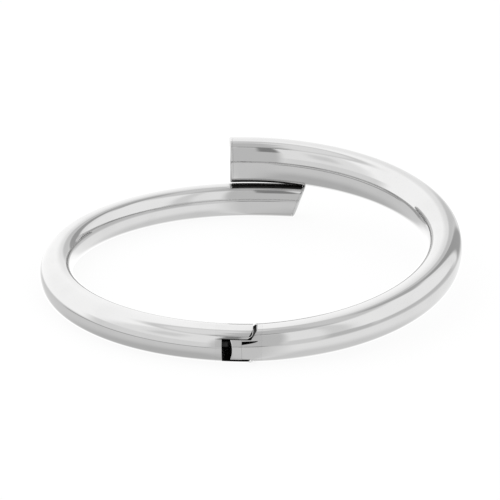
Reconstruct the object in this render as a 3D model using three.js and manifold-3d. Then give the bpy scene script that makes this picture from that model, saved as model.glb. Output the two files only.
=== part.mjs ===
// A hinged bypass bangle: two hollow oval arms, hinged at the front, whose ends pass each other
// at the back, the right arm's end above the left arm's. Millimetres, +Z along the wrist axis,
// hinge towards -Y, overlap towards +Y. Angles run round each arm from the hinge, in radians.
import * as THREE from "three";
import { mergeVertices } from "three/addons/utils/BufferGeometryUtils.js";
import Module from "manifold-3d";

const degrees = Math.PI / 180;

// Plan of the centreline: an ellipse round the wrist.
const halfWidth = 32.2;
const halfDepth = 28.1;
const leftEndAngle = 194.4 * degrees;
const rightEndAngle = 187.6 * degrees;
const leftEndBend = 0.5; // how much of the ellipse's bend the left arm keeps past the back
const rightEndOutset = 0.9; // the right arm's end stands this far outside the left one

// Oval section of each arm, radial width by height, at the hinge and half a turn from it.
const leftHingeWidth = 6.0;
const rightHingeWidth = 5.4;
const hingeHeight = 5.8;
const leftEndWidth = 4.8;
const leftEndHeight = 6.15;
const rightEndWidth = 6.6;
const rightEndHeight = 8.2;
const ovalPower = 2.2; // superellipse power, a little fuller than an ellipse
const riseEase = 1.65; // how late the right arm starts to climb
const stackGap = 0.25; // air between the two ends where they pass
const leftEndLean = 19.5 * degrees; // the left end is cut longer on top than underneath

// Stampings and caps.
const wall = 0.5;
const seam = 0.02; // between the outer and inner half of an arm, and under a cap
const capThickness = 0.6;
const capEdge = 0.3; // rounded off round the outside of a cap
const plugFit = 0.05; // between a hinge insert and the shells round it

// Hinge: a knuckle on the right arm between an upper and a lower lug on the left arm.
const upperLugFloor = 1.8; // above the section's centre
const lowerLugTop = 2.05; // below the section's centre
const lugReach = 2.45; // from the pin to the middle of the lugs' rounded ends
const lugEndRadius = 3.2;
const knuckleReach = 1.63; // from the pin to the knuckle's flat nose
const noseRadius = 1.45;
const slotFace = 2.56; // from the pin back to the left arm's face
const pocketGap = 0.2; // round the swing of the lugs
const swingGap = 0.08; // above and below the knuckle
const collarEnd = 3.6; // from the pin to where each arm's shells start
const plugLength = 5.6; // inside the shells
const pinRadius = 0.6;
const pinRunningGap = 0.05;
const pinPressGap = 0.01;
const pinCover = 0.5; // metal left over the blind top of the pin hole
const pinRecess = 0.03; // the pin's foot stays this far inside the lower lug

// Spring plunger in the left insert: its flat end bears on the knuckle's nose.
const plungerRadius = 0.9;
const plungerLength = 3.3;
const plungerGap = 0.05;
const spigotRadius = 0.42;
const spigotLength = 0.8;
const springLength = 2.9;
const springRadius = 0.68; // of the coil, to the middle of the wire
const springEndGap = 0.03;
const springWireRadius = 0.13;
const springTurns = 5;

// Fineness of the facets.
const sectionSides = 24;
const stationsPerTurn = 72;
const roundSides = 24;
const capSteps = 4;
const wireSides = 6;
const wireStepsPerTurn = 14;

const wasm = await Module();
wasm.setup();

// ---------------------------------------------------------------- solids

function solidOf(geometry) {
  const bare = geometry.index ? geometry.toNonIndexed() : geometry.clone();
  bare.deleteAttribute("normal");
  bare.deleteAttribute("uv");
  const merged = mergeVertices(bare, 1e-4);
  return new wasm.Manifold(
    new wasm.Mesh({
      numProp: 3,
      vertProperties: merged.attributes.position.array,
      triVerts: new Uint32Array(merged.index.array),
    }),
  );
}

function geometryOf(solid) {
  const mesh = solid.getMesh();
  const geometry = new THREE.BufferGeometry();
  geometry.setAttribute("position", new THREE.BufferAttribute(mesh.vertProperties, 3));
  geometry.setIndex(new THREE.BufferAttribute(mesh.triVerts, 1));
  geometry.computeVertexNormals();
  return geometry;
}

// A plan outline, drawn round the pin, made solid between two heights.
function prism(outline, bottom, top) {
  const shape = { depth: top - bottom, bevelEnabled: false, curveSegments: 12 };
  return solidOf(new THREE.ExtrudeGeometry(outline, shape).translate(0, -halfDepth, bottom));
}

// A box right across the arm at the pin, between two distances to the pin's right.
function slab(from, to, bottom, top) {
  const box = new THREE.BoxGeometry(to - from, 2 * leftHingeWidth, top - bottom);
  return solidOf(box.translate((from + to) / 2, -halfDepth, (bottom + top) / 2));
}

function uprightRod(radius, bottom, top) {
  const rod = new THREE.CylinderGeometry(radius, radius, top - bottom, roundSides);
  return rod.rotateX(Math.PI / 2).translate(0, -halfDepth, (bottom + top) / 2);
}

// A turned piece whose axis runs level from the pin's axis into the left arm. The profile's
// points are (radius, distance from the pin), starting and ending on the axis.
function levelTurning(profile) {
  const points = profile.map(([radius, distance]) => new THREE.Vector2(radius, distance));
  const turning = new THREE.LatheGeometry(points, roundSides);
  return turning.rotateZ(Math.PI / 2).translate(0, -halfDepth, centreAtHinge);
}

// ---------------------------------------------------------------- the lines of the two arms

const mix = (from, to, share) => from + (to - from) * share;
const halfTurns = (angle) => Math.max(angle, 0) / Math.PI;
const oval = (x, y) => (Math.abs(x) ** ovalPower + Math.abs(y) ** ovalPower) ** (1 / ovalPower);

function ovalPoint(angle) {
  const radius = 1 / oval(Math.cos(angle), Math.sin(angle));
  return new THREE.Vector2(radius * Math.cos(angle), radius * Math.sin(angle));
}

// The faceted section has a flat on top and underneath: the share of its half height they reach.
const flatShare = ovalPoint(Math.PI / 2 - Math.PI / sectionSides).y;
const centreAtHinge = (flatShare * hingeHeight) / 2;
const passHeight = flatShare * leftEndHeight + stackGap; // underside of the right arm's end

const leftArm = {
  side: -1,
  end: leftEndAngle,
  lean: leftEndLean,
  half: (angle) => [
    mix(leftHingeWidth, leftEndWidth, halfTurns(angle)) / 2,
    mix(hingeHeight, leftEndHeight, halfTurns(angle)) / 2,
  ],
  outset: () => 0,
  height: (angle) => flatShare * leftArm.half(angle)[1],
  plan: (angle) => {
    const bend = angle > Math.PI ? leftEndBend : 1;
    const y = halfDepth * (1 - bend * (1 + Math.cos(angle)));
    return new THREE.Vector2(-halfWidth * Math.sin(angle), y);
  },
};

const rightArm = {
  side: 1,
  end: rightEndAngle,
  lean: 0,
  half: (angle) => [
    mix(rightHingeWidth, rightEndWidth, halfTurns(angle)) / 2,
    mix(hingeHeight, rightEndHeight, halfTurns(angle)) / 2,
  ],
  outset: (angle) => rightEndOutset * halfTurns(angle),
  height: (angle) => {
    const climb = Math.sin((Math.min(halfTurns(angle), 1) * Math.PI) / 2) ** riseEase;
    return flatShare * rightArm.half(angle)[1] + passHeight * climb;
  },
  plan: (angle) => {
    return new THREE.Vector2(halfWidth * Math.sin(angle), -halfDepth * Math.cos(angle));
  },
};

// A point in an arm's section: out from the wrist by u, up by v and along the arm by w.
function pointOn(arm, angle, u, v, w) {
  const step = 1e-3;
  const along = arm.plan(angle + step).sub(arm.plan(angle - step)).normalize();
  const outward = new THREE.Vector2(along.y, -along.x).multiplyScalar(arm.side);
  const at = arm.plan(angle).addScaledVector(outward, arm.outset(angle) + u);
  at.addScaledVector(along, w);
  return [at.x, at.y, arm.height(angle) + v];
}

// An outline drawn at unit size and run along an arm between two angles. place(x, y, angle,
// share) turns a point of the outline into its real distances from the centreline, and
// lean(share) is the angle by which the section's top leans forward along the arm.
function alongArm(arm, outline, { from, to, steps, place, lean = () => 0 }) {
  const stations = steps ?? Math.max(1, Math.round(((to - from) * stationsPerTurn) / (2 * Math.PI)));
  const geometry = new THREE.ExtrudeGeometry(outline, {
    depth: 1,
    steps: stations,
    bevelEnabled: false,
  });
  const position = geometry.attributes.position;
  for (let i = 0; i < position.count; i += 1) {
    const x = position.getX(i);
    const y = position.getY(i);
    const share = position.getZ(i);
    const angle = mix(from, to, share);
    const [u, v] = place(x, y, angle, share);
    position.setXYZ(i, ...pointOn(arm, angle, u, v, v * Math.tan(lean(share))));
  }
  return arm.side > 0 ? turnedFaces(geometry) : geometry;
}

// The right arm runs the other way round the wrist, which turns its faces inside out: swap two
// corners of each triangle to turn them back.
function turnedFaces(geometry) {
  const position = geometry.attributes.position;
  const second = new THREE.Vector3();
  const third = new THREE.Vector3();
  for (let i = 0; i < position.count; i += 3) {
    second.fromBufferAttribute(position, i + 1);
    third.fromBufferAttribute(position, i + 2);
    position.setXYZ(i + 1, ...third);
    position.setXYZ(i + 2, ...second);
  }
  return geometry;
}

// ---------------------------------------------------------------- shells and caps

function fullOutline() {
  const points = [];
  for (let i = 0; i < sectionSides; i += 1) {
    points.push(ovalPoint(((i + 0.5) * 2 * Math.PI) / sectionSides));
  }
  return new THREE.Shape(points);
}

// Half of the ring between the outside of the wall and its inside, on the side away from the
// wrist (1) or next to it (-1). The inside is drawn at half size, whatever the wall.
const insideDrawnAt = 0.5;

function halfRingOutline(half) {
  const outer = [new THREE.Vector2(0, -flatShare)];
  for (let i = 0; i < sectionSides / 2; i += 1) {
    outer.push(ovalPoint(((i + 0.5) * 2 * Math.PI) / sectionSides - Math.PI / 2));
  }
  outer.push(new THREE.Vector2(0, flatShare));
  const inner = outer.map((point) => point.clone().multiplyScalar(insideDrawnAt)).reverse();
  const points = [...outer, ...inner];
  return new THREE.Shape(points.map((point) => new THREE.Vector2(half * point.x, point.y)));
}

function shell(arm, half) {
  const place = (x, y, angle) => {
    const inside = oval(x, y) < mix(insideDrawnAt, 1, 0.5);
    const drawnAt = inside ? insideDrawnAt : 1;
    const [w, h] = arm.half(angle).map((size) => (size - (inside ? wall : 0)) / drawnAt);
    return [x * w + (half * seam) / 2, y * h];
  };
  return alongArm(arm, halfRingOutline(half), {
    from: Math.asin(collarEnd / halfWidth),
    to: arm.end - capThickness / halfWidth,
    place,
    lean: (share) => share * arm.lean,
  });
}

// An end cap covers the ends of both shells, and its outer edge is rounded off.
function endCap(arm) {
  const place = (x, y, angle, share) => {
    const intoEdge = Math.max(0, 1 - ((1 - share) * capThickness) / capEdge);
    const shrink = capEdge * (1 - Math.sqrt(1 - intoEdge ** 2));
    return arm.half(angle).map((size, i) => [x, y][i] * (size - shrink));
  };
  return alongArm(arm, fullOutline(), {
    from: arm.end + (seam - capThickness) / halfWidth,
    to: arm.end,
    steps: capSteps,
    place,
    lean: () => arm.lean,
  });
}

// ---------------------------------------------------------------- hinge

const plugEnd = collarEnd + plugLength;
const underUpperLug = centreAtHinge + upperLugFloor;
const overLowerLug = centreAtHinge - lowerLugTop;
const farAbove = centreAtHinge + hingeHeight;
const farBelow = centreAtHinge - hingeHeight;
const pinHoleTop = 2 * centreAtHinge - pinCover;

// Half the breadth of the upper lug's underside, and how far its corners swing round the pin.
const lugShare = (2 * upperLugFloor) / hingeHeight;
const lugHalfBreadth = (leftHingeWidth / 2) * (1 - lugShare ** ovalPower) ** (1 / ovalPower);
const lugEndCentre = lugReach - lugEndRadius;
const lugCorner = lugEndCentre + Math.sqrt(lugEndRadius ** 2 - lugHalfBreadth ** 2);
const pocketRadius = Math.max(Math.hypot(lugCorner, lugHalfBreadth), lugReach) + pocketGap;

const plungerFace = knuckleReach + plungerGap;
const plungerTail = plungerFace + plungerLength;
const springStart = plungerTail + springEndGap;
const boreEnd = springStart + springLength + springEndGap;

// A stretch of either arm near the hinge, set in from the arm's outside. Its ends are given by
// their distances from the pin along the arm's own side.
function stretch(arm, from, to, inset) {
  const place = (x, y, angle) => arm.half(angle).map((size, i) => [x, y][i] * (size - inset));
  return solidOf(
    alongArm(arm, fullOutline(), {
      from: Math.asin(from / halfWidth),
      to: Math.asin(to / halfWidth),
      place,
    }),
  );
}

// The plug of an insert, inside its arm's shells. It starts inside the collar.
function plug(arm) {
  return stretch(arm, collarEnd - wall, plugEnd, wall + plugFit);
}

// The lugs end in a shallow arc, seen from above.
function lugPlan() {
  const outline = new THREE.Shape();
  const spread = Math.asin(lugHalfBreadth / lugEndRadius);
  outline.moveTo(-plugEnd, -leftHingeWidth);
  outline.lineTo(lugCorner, -leftHingeWidth);
  outline.lineTo(lugCorner, -lugHalfBreadth);
  outline.absarc(lugEndCentre, 0, lugEndRadius, -spread, spread, false);
  outline.lineTo(lugCorner, leftHingeWidth);
  outline.lineTo(-plugEnd, leftHingeWidth);
  return outline;
}

// The knuckle has a flat nose with rounded corners, seen from above.
function nosePlan() {
  const corner = noseRadius - knuckleReach;
  const across = rightHingeWidth / 2 - noseRadius;
  const outline = new THREE.Shape();
  outline.moveTo(plugEnd, -rightHingeWidth / 2);
  outline.lineTo(plugEnd, rightHingeWidth);
  outline.lineTo(corner, rightHingeWidth);
  outline.lineTo(corner, rightHingeWidth / 2);
  outline.absarc(corner, across, noseRadius, Math.PI / 2, Math.PI, false);
  outline.absarc(corner, -across, noseRadius, Math.PI, 1.5 * Math.PI, false);
  return outline;
}

// Left insert: collar, upper and lower lug, and the plug that holds the plunger's bore.
function hingeClevis() {
  const radius = plungerRadius + plungerGap;
  const bore = levelTurning([[0, 0], [radius, 0], [radius, boreEnd], [0, boreEnd]]);
  return geometryOf(
    stretch(leftArm, -lugReach - wall, collarEnd - seam, 0)
      .intersect(prism(lugPlan(), farBelow, farAbove))
      .subtract(slab(-slotFace, 2 * lugReach, overLowerLug, underUpperLug))
      .add(plug(leftArm))
      .subtract(solidOf(bore))
      .subtract(solidOf(uprightRod(pinRadius + pinPressGap, farBelow, pinHoleTop))),
  );
}

// Right insert: the knuckle between the lugs, the collar cut back round their swing, and a plug.
function hingeKnuckle() {
  const top = underUpperLug - swingGap;
  const bottom = overLowerLug + swingGap;
  return geometryOf(
    stretch(rightArm, -knuckleReach - wall, collarEnd - seam, 0)
      .intersect(prism(nosePlan(), farBelow, farAbove))
      .subtract(solidOf(uprightRod(pocketRadius, top, farAbove)))
      .subtract(solidOf(uprightRod(pocketRadius, farBelow, bottom)))
      .add(plug(rightArm))
      .subtract(solidOf(uprightRod(pinRadius + pinRunningGap, farBelow, farAbove))),
  );
}

function hingePin() {
  return uprightRod(pinRadius, pinRecess, pinHoleTop - pinRecess);
}

// The plunger's spigot stands inside the spring.
function hingePlunger() {
  return levelTurning([
    [0, plungerFace],
    [plungerRadius, plungerFace],
    [plungerRadius, plungerTail],
    [spigotRadius, plungerTail],
    [spigotRadius, plungerTail + spigotLength],
    [0, plungerTail + spigotLength],
  ]);
}

class Coil extends THREE.Curve {
  getPoint(share, target = new THREE.Vector3()) {
    const angle = share * springTurns * 2 * Math.PI;
    const from = springStart + springWireRadius;
    const along = from + share * (springLength - 2 * springWireRadius);
    const y = springRadius * Math.cos(angle) - halfDepth;
    return target.set(-along, y, springRadius * Math.sin(angle) + centreAtHinge);
  }
}

function hingeSpring() {
  const wire = [];
  for (let i = 0; i < wireSides; i += 1) {
    const angle = (i * 2 * Math.PI) / wireSides;
    const across = new THREE.Vector2(Math.cos(angle), Math.sin(angle));
    wire.push(across.multiplyScalar(springWireRadius));
  }
  return new THREE.ExtrudeGeometry(new THREE.Shape(wire), {
    steps: springTurns * wireStepsPerTurn,
    extrudePath: new Coil(),
  });
}

// ---------------------------------------------------------------- materials and assembly

const polished = () => {
  return new THREE.MeshStandardMaterial({ color: 0xd9dadb, roughness: 0.08, metalness: 1 });
};
const pinSteel = () => {
  return new THREE.MeshStandardMaterial({ color: 0xb9babc, roughness: 0.25, metalness: 1 });
};
const springSteel = () => {
  return new THREE.MeshStandardMaterial({ color: 0x8f9296, roughness: 0.35, metalness: 1 });
};

function named(name, geometry, material) {
  const mesh = new THREE.Mesh(geometry, material);
  mesh.name = name;
  return mesh;
}

function leftHalf() {
  const group = new THREE.Group();
  group.add(named("left_outer_shell", shell(leftArm, 1), polished()));
  group.add(named("left_inner_shell", shell(leftArm, -1), polished()));
  group.add(named("left_end_cap", endCap(leftArm), polished()));
  group.add(named("hinge_clevis", hingeClevis(), polished()));
  group.add(named("hinge_pin", hingePin(), pinSteel()));
  group.add(named("hinge_plunger", hingePlunger(), pinSteel()));
  group.add(named("hinge_spring", hingeSpring(), springSteel()));
  return group;
}

function rightHalf() {
  const group = new THREE.Group();
  group.add(named("right_outer_shell", shell(rightArm, 1), polished()));
  group.add(named("right_inner_shell", shell(rightArm, -1), polished()));
  group.add(named("right_end_cap", endCap(rightArm), polished()));
  group.add(named("hinge_knuckle", hingeKnuckle(), polished()));
  return group;
}

// The origin is under the middle of the bangle's box, on the surface it lies on.
function bangle() {
  const group = new THREE.Group();
  group.add(leftHalf(), rightHalf());
  const box = new THREE.Box3().setFromObject(group, true);
  const middle = box.getCenter(new THREE.Vector3());
  group.position.set(-middle.x, -middle.y, -box.min.z);
  return group;
}

export default bangle();
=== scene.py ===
"""Polished steel bypass bangle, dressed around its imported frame.

Two hollow oval arms are hinged at the front by a knuckle between two lugs, and their ends pass
each other at the back. Sizes in the classes are in millimetres, and finished meshes in metres.
"""

import logging
import math
from dataclasses import dataclass, field, replace
from enum import Enum
from typing import Callable, Optional

import bmesh
import bpy
import numpy as np
from mathutils import Matrix, Vector


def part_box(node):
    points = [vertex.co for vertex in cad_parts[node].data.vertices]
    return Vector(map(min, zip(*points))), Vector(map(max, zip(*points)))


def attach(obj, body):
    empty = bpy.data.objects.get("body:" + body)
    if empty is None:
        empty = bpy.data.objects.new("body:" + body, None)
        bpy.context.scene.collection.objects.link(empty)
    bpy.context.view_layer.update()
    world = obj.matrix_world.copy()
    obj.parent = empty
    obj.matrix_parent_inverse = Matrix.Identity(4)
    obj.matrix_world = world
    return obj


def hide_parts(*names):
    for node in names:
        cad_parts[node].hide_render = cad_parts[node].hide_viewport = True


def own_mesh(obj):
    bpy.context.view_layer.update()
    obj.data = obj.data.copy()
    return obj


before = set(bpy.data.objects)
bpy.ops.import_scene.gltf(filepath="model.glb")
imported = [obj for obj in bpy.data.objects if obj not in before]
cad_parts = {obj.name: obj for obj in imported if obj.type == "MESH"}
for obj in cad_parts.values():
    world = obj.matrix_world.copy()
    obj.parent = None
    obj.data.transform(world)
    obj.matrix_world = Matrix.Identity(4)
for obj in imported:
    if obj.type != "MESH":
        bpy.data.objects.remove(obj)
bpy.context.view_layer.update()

LOG = logging.getLogger("bangle")
MM = 0.001
RUN_RADIUS = 30.0
SRGB_OFFSET, SRGB_POWER = 0.055, 2.4

Array = np.ndarray
Reach = Callable[[Array], Array]


class Side(Enum):
    """Which way round the wrist an arm runs from the hinge."""

    LEFT = -1
    RIGHT = 1


class Effect(Enum):
    """The node groups that the steels or the tent's panels share."""

    POLISH_LINES = "polish_lines"
    HANDLING_MARKS = "handling_marks"
    EDGE_WEAR_SHEEN = "edge_wear_sheen"
    SOFT_PANEL = "soft_panel"


class Body(Enum):
    """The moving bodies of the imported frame."""

    LEFT_HALF = "left_half"
    RIGHT_HALF = "right_half"
    PLUNGER = "plunger"


# ------------------------------------------------------------------ the lines of the arms


@dataclass(frozen=True)
class HingePlace:
    """Where the pin stands in the frame."""

    x: float
    y: float

    @classmethod
    def from_frame(cls) -> "HingePlace":
        """Reads the pin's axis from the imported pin.

        Returns:
            The place of the pin's axis, in millimetres.
        """
        low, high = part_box("hinge_pin")
        return cls(x=(low.x + high.x) / 2 / MM, y=(low.y + high.y) / 2 / MM)


@dataclass(frozen=True)
class ArmLine:
    """The centreline and oval section of one arm.

    Angles run round the wrist from the hinge, in radians. A section's u points out from the
    wrist and its v points up.
    """

    side: Side
    hinge: HingePlace
    hinge_width: float
    end_width: float
    end_height: float
    end_angle: float
    end_lean: float = 0.0
    end_bend: float = 1.0
    end_outset: float = 0.0
    end_climb: float = 0.0
    hinge_height: float = 5.8
    half_width: float = 32.2
    half_depth: float = 28.1
    climb_ease: float = 1.65
    oval_power: float = 2.2
    flat_share: float = 0.9916

    @property
    def centre_at_hinge(self) -> float:
        """Height of the section's centre at the hinge."""
        return self.flat_share * self.hinge_height / 2

    def half_turns(self, angle: Array) -> Array:
        """Share of the way from the hinge to the back of the wrist."""
        return np.maximum(angle, 0.0) / math.pi

    def half_size(self, angle: Array) -> tuple[Array, Array]:
        """Half the section's width and height.

        Args:
            angle: Angles round the wrist.

        Returns:
            The half width and the half height.
        """
        share = self.half_turns(angle)
        width = self.hinge_width + (self.end_width - self.hinge_width) * share
        height = self.hinge_height + (self.end_height - self.hinge_height) * share
        return width / 2, height / 2

    def plan(self, angle: Array) -> tuple[Array, Array]:
        """The centreline seen from above, before its outset.

        Args:
            angle: Angles round the wrist.

        Returns:
            The x and y of the centreline.
        """
        bend = np.where(angle > math.pi, self.end_bend, 1.0)
        x = self.side.value * self.half_width * np.sin(angle) + self.hinge.x
        y = self.half_depth * (2.0 - bend * (1.0 + np.cos(angle))) + self.hinge.y
        return x, y

    def height(self, angle: Array) -> Array:
        """Height of the centreline above the surface that the bangle lies on."""
        share = np.minimum(self.half_turns(angle), 1.0)
        climb = np.sin(share * math.pi / 2) ** self.climb_ease
        return self.half_size(angle)[1] * self.flat_share + self.end_climb * climb

    def heading(self, angle: Array) -> tuple[Array, Array]:
        """The level directions along the arm and out from the wrist.

        Args:
            angle: Angles round the wrist.

        Returns:
            Unit vectors along and outward, as rows of x and y.
        """
        step = 1e-4
        x0, y0 = self.plan(angle - step)
        x1, y1 = self.plan(angle + step)
        along = np.stack([x1 - x0, y1 - y0], -1)
        along = along / np.linalg.norm(along, axis=-1, keepdims=True)
        outward = np.stack([along[..., 1], -along[..., 0]], -1) * self.side.value
        return along, outward

    def point(self, angle: Array, u: Array, v: Array, w: Array | float = 0.0) -> Array:
        """A point out by u, up by v and along by w from the centreline.

        Args:
            angle: Angles round the wrist.
            u: Distances out from the wrist.
            v: Distances up.
            w: Distances on along the arm.

        Returns:
            The points, as rows of x, y and z.
        """
        along, outward = self.heading(angle)
        x, y = self.plan(angle)
        out = u + self.end_outset * self.half_turns(angle)
        px = x + outward[..., 0] * out + along[..., 0] * w
        py = y + outward[..., 1] * out + along[..., 1] * w
        return np.stack(np.broadcast_arrays(px, py, self.height(angle) + v), -1)

    def oval(self, turn: Array) -> tuple[Array, Array]:
        """The unit oval at turns from straight out, anticlockwise towards up.

        Args:
            turn: Turns round the section.

        Returns:
            The oval's u and v.
        """
        c, s = np.cos(turn), np.sin(turn)
        share = 2.0 / self.oval_power
        return np.sign(c) * np.abs(c) ** share, np.sign(s) * np.abs(s) ** share

    def turn_at(self, height: Array) -> Array:
        """The turn at which the unit oval's right side reaches a height."""
        level = np.clip(height, -1.0, 1.0)
        return np.sign(level) * np.arcsin(np.abs(level) ** (self.oval_power / 2))

    def slope(self, u: Array, v: Array, half_w: Array, half_h: Array) -> Array:
        """Outward normals of the oval in its own plane.

        Args:
            u: Distances out.
            v: Distances up.
            half_w: Half the width.
            half_h: Half the height.

        Returns:
            Unit normals, as rows of u and v.
        """
        power = self.oval_power - 1.0
        nu = np.sign(u) * np.abs(u / half_w) ** power / half_w
        nv = np.sign(v) * np.abs(v / half_h) ** power / half_h
        normal = np.stack([nu, nv], -1)
        return normal / np.maximum(np.linalg.norm(normal, axis=-1, keepdims=True), 1e-12)

    def skin(self, angle: Array, turn: Array, inset: Array | float = 0.0, lean: Array | float = 0.0) -> Array:
        """Points of the arm's surface.

        Args:
            angle: Angles round the wrist.
            turn: Turns round the section.
            inset: Depth below the outside.
            lean: Angle by which the section's top leans on along the arm.

        Returns:
            The points, as rows of x, y and z.
        """
        half_w, half_h = self.half_size(angle)
        ox, oy = self.oval(turn)
        v = oy * (half_h - inset)
        return self.point(angle, ox * (half_w - inset), v, v * np.tan(lean))

    def angle_across(self, distance: Array, u: Array) -> Array:
        """The angle at which a line out by u crosses a distance from the pin.

        Args:
            distance: Distances from the pin towards the arm's own side.
            u: Distances out from the wrist.

        Returns:
            Angles round the wrist.
        """
        angle = np.arcsin(distance / self.half_width)
        for _ in range(5):
            _, outward = self.heading(angle)
            drift = outward[..., 0] * self.side.value * u
            angle = np.arcsin((distance - drift) / self.half_width)
        return angle

    def section_near_hinge(self, points: Array) -> tuple[Array, Array, Array]:
        """Angle and section place of points near the hinge.

        Args:
            points: Rows of x, y and z.

        Returns:
            The angle round the wrist, and u and v in the section there.
        """
        across = (points[:, 0] - self.hinge.x) * self.side.value
        angle = np.arcsin(across / self.half_width)
        for _ in range(8):
            x, y = self.plan(angle)
            along, _ = self.heading(angle)
            gap = np.stack([points[:, 0] - x, points[:, 1] - y], -1)
            angle = angle + np.einsum("ij,ij->i", gap, along) / self.half_width
        _, outward = self.heading(angle)
        base = self.point(angle, np.zeros_like(angle), np.zeros_like(angle))
        gap = points - base
        return angle, np.einsum("ij,ij->i", gap[:, :2], outward), gap[:, 2]

    def skin_normals(self, points: Array) -> tuple[Array, Array]:
        """Normals of the smooth skin at points near the hinge, and their depths inside it.

        Args:
            points: Rows of x, y and z.

        Returns:
            The unit normals, and the depths below the skin.
        """
        angle, u, v = self.section_near_hinge(points)
        half_w, half_h = self.half_size(angle)
        power = self.oval_power
        reach = (np.abs(u / half_w) ** power + np.abs(v / half_h) ** power) ** (1 / power)
        flat = self.slope(u, v, half_w, half_h)
        _, outward = self.heading(angle)
        normal = np.column_stack([outward * flat[:, :1], flat[:, 1]])
        step = 1e-3
        ahead = self.skin(angle + step, self.turn_of(u, v, half_w, half_h))
        behind = self.skin(angle - step, self.turn_of(u, v, half_w, half_h))
        along = ahead - behind
        along /= np.maximum(np.linalg.norm(along, axis=1, keepdims=True), 1e-12)
        normal = normal - along * np.einsum("ij,ij->i", normal, along)[:, None]
        normal /= np.maximum(np.linalg.norm(normal, axis=1, keepdims=True), 1e-12)
        return normal, (1.0 - reach) * np.minimum(half_w, half_h)

    def turn_of(self, u: Array, v: Array, half_w: Array, half_h: Array) -> Array:
        """The oval's turn towards a section place."""
        share = self.oval_power / 2
        c = np.sign(u) * np.abs(u / half_w) ** share
        s = np.sign(v) * np.abs(v / half_h) ** share
        return np.arctan2(s, c)


# ------------------------------------------------------------------ meshes


@dataclass
class Piece:
    """A closed mesh in the making, in millimetres."""

    points: list[Array] = field(default_factory=list)
    faces: list[Array] = field(default_factory=list)
    edge: list[Array] = field(default_factory=list)
    count: int = 0

    def add(self, points: Array, faces: Array, edge: Array) -> None:
        """Adds points, faces of four corners, and how near to a rounded edge each point is."""
        self.points.append(points)
        self.faces.append(faces + self.count)
        self.edge.append(edge)
        self.count += len(points)

    def mesh(self, name: str, weld: float = 1e-4) -> bpy.types.Mesh:
        """Makes the mesh, with doubled points welded.

        Args:
            name: The mesh's name.
            weld: Distance within which points are one.

        Returns:
            The mesh, still in millimetres.
        """
        made = bpy.data.meshes.new(name)
        made.from_pydata(np.vstack(self.points).tolist(), [], np.vstack(self.faces).tolist())
        layer = made.attributes.new("edge", "FLOAT", "POINT")
        layer.data.foreach_set("value", np.concatenate(self.edge).astype(np.float32))
        shaped = bmesh.new()
        shaped.from_mesh(made)
        bmesh.ops.remove_doubles(shaped, verts=shaped.verts, dist=weld)
        bmesh.ops.dissolve_degenerate(shaped, edges=shaped.edges, dist=weld)
        bmesh.ops.recalc_face_normals(shaped, faces=shaped.faces)
        shaped.to_mesh(made)
        shaped.free()
        return made


def grid_faces(rows: int, columns: int, wrap_rows: bool, wrap_columns: bool) -> Array:
    """Faces of a grid of points that is numbered row by row.

    Args:
        rows: How many rows.
        columns: How many points in a row.
        wrap_rows: Whether the last row joins the first.
        wrap_columns: Whether each row is a ring.

    Returns:
        Rows of four point numbers.
    """
    r = np.arange(rows if wrap_rows else rows - 1)
    c = np.arange(columns if wrap_columns else columns - 1)
    rr, cc = np.meshgrid(r, c, indexing="ij")
    r1, c1 = (rr + 1) % rows, (cc + 1) % columns
    corners = [rr * columns + cc, rr * columns + c1, r1 * columns + c1, r1 * columns + cc]
    return np.stack(corners, -1).reshape(-1, 4)


def new_object(name: str, mesh: bpy.types.Mesh) -> bpy.types.Object:
    """Puts a mesh into the scene as an object at the origin."""
    made = bpy.data.objects.new(name, mesh)
    bpy.context.scene.collection.objects.link(made)
    return made


def cut_away(piece: bpy.types.Object, tool: bpy.types.Object) -> None:
    """Cuts a tool's shape out of a piece, and removes the tool.

    Args:
        piece: The piece that is cut.
        tool: The closed shape of the hole.
    """
    cut = piece.modifiers.new("cut", "BOOLEAN")
    cut.operation = "DIFFERENCE"
    cut.solver = "EXACT"
    cut.object = tool
    ready = piece.evaluated_get(bpy.context.evaluated_depsgraph_get())
    mesh = bpy.data.meshes.new_from_object(ready)
    piece.modifiers.clear()
    piece.data = mesh
    bpy.data.objects.remove(tool)


def rod(name: str, radius: float, start: Vector, end: Vector, sides: int = 64) -> bpy.types.Object:
    """A round rod between two points, for cutting holes.

    Args:
        name: The rod's name.
        radius: Its radius.
        start: The middle of one end.
        end: The middle of the other end.
        sides: How many sides its outline has.

    Returns:
        The rod.
    """
    axis = end - start
    turn = axis.to_track_quat("Z", "Y").to_matrix().to_4x4()
    place = Matrix.Translation((start + end) / 2) @ turn
    shaped = bmesh.new()
    bmesh.ops.create_cone(
        shaped, cap_ends=True, segments=sides, radius1=radius, radius2=radius, depth=axis.length, matrix=place
    )
    mesh = bpy.data.meshes.new(name)
    shaped.to_mesh(mesh)
    shaped.free()
    return new_object(name, mesh)


def join(name: str, parts: list[bpy.types.Object]) -> bpy.types.Object:
    """Joins closed parts into one object.

    Args:
        name: The new object's name.
        parts: The parts, which are removed.

    Returns:
        The joined object.
    """
    shaped = bmesh.new()
    for part in parts:
        shaped.from_mesh(part.data)
    mesh = bpy.data.meshes.new(name)
    shaped.to_mesh(mesh)
    shaped.free()
    for part in parts:
        bpy.data.objects.remove(part)
    return new_object(name, mesh)


def shade(mesh: bpy.types.Mesh, sharp: float = 35.0) -> None:
    """Shades a mesh smooth, except at edges sharper than an angle in degrees."""
    mesh.shade_smooth()
    mesh.set_sharp_from_angle(angle=math.radians(sharp))
    mesh.update()


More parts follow.
